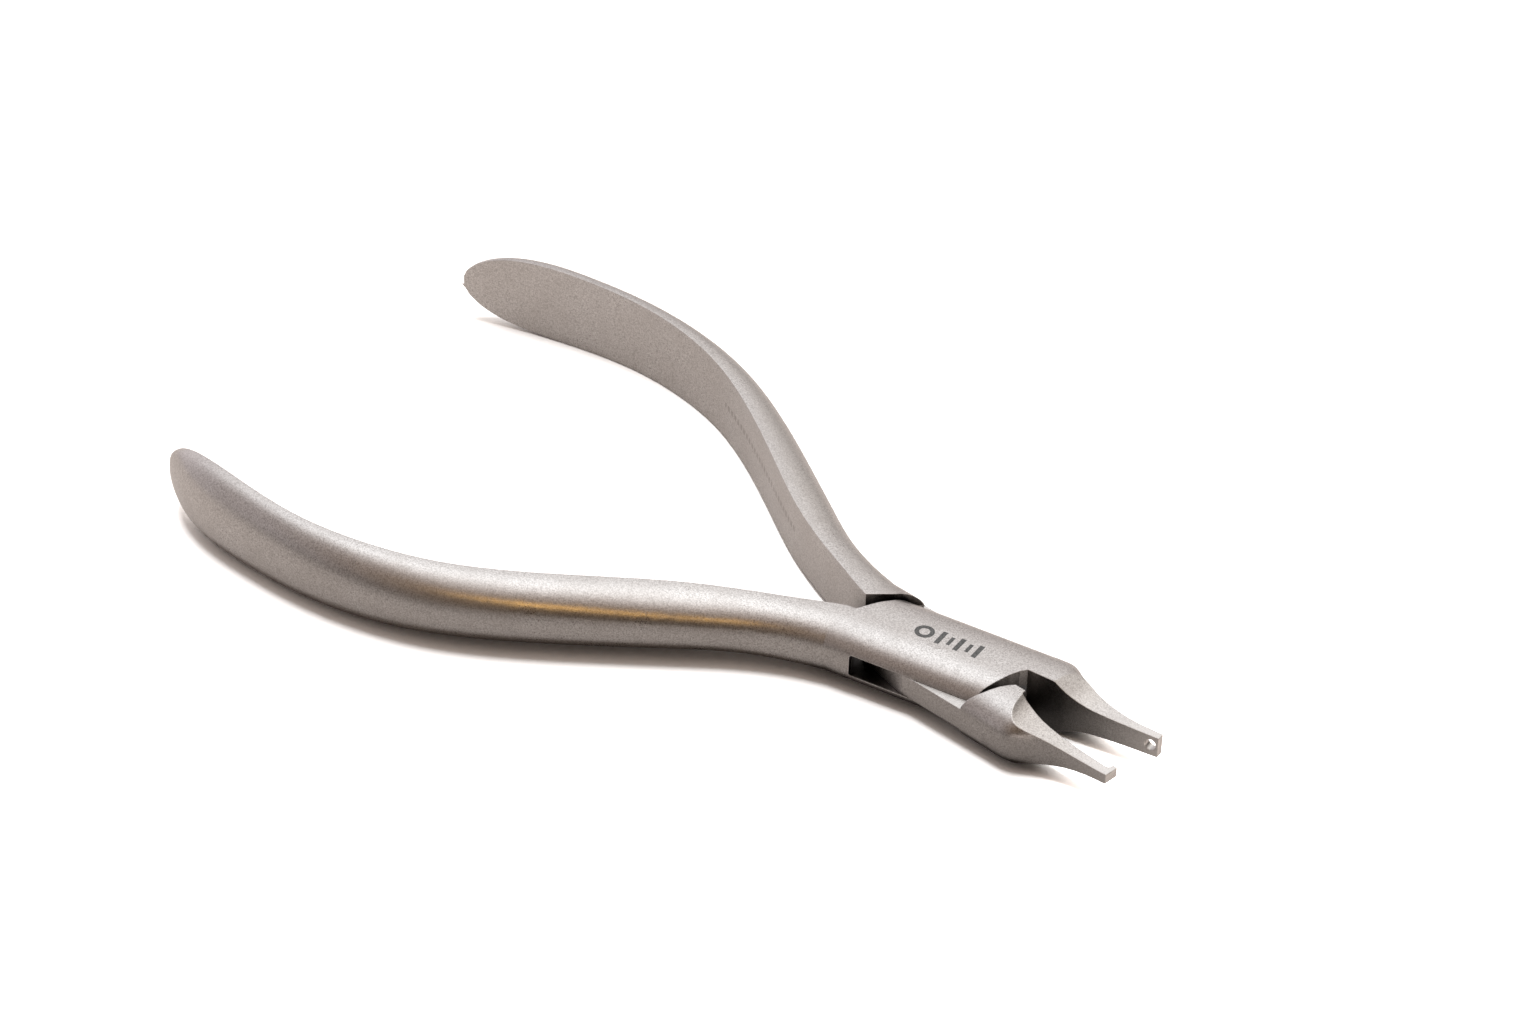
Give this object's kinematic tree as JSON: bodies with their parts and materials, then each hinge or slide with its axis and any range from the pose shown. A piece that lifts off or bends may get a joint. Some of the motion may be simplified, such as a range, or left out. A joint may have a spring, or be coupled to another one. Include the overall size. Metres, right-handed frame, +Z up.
{
  "type": "box-joint crimping pliers",
  "caption": "Box-joint hand pliers with curved handles, slender crimping jaws, a through hole in one jaw tip and an inward toe on the other.",
  "frame": {"origin": "the point where the pivot axis leaves the flat underside of the joint", "axes": "+Z up along the pivot axis, +X towards the jaws along the line that bisects the opening, +Y towards the handle of the lap half"},
  "size_m": [0.138, 0.0768, 0.0118],
  "materials": {
    "box_half_steel": "bead blasted satin",
    "lap_half_steel": "bead blasted satin, ground on the lap",
    "pin_steel": "bead blasted satin, flush"
  },
  "bodies": {
    "box_body": {"box_half": "box_half_steel", "pivot_pin": "pin_steel"},
    "lap_body": {"lap_half": "lap_half_steel"}
  },
  "joints": [
    {"name": "pivot", "type": "hinge", "parent": "box_body", "child": "lap_body", "pos_m": [0, 0, 0.00407], "axis": [0, 0, 1], "range_deg": [-35, 13.3]}
  ]
}
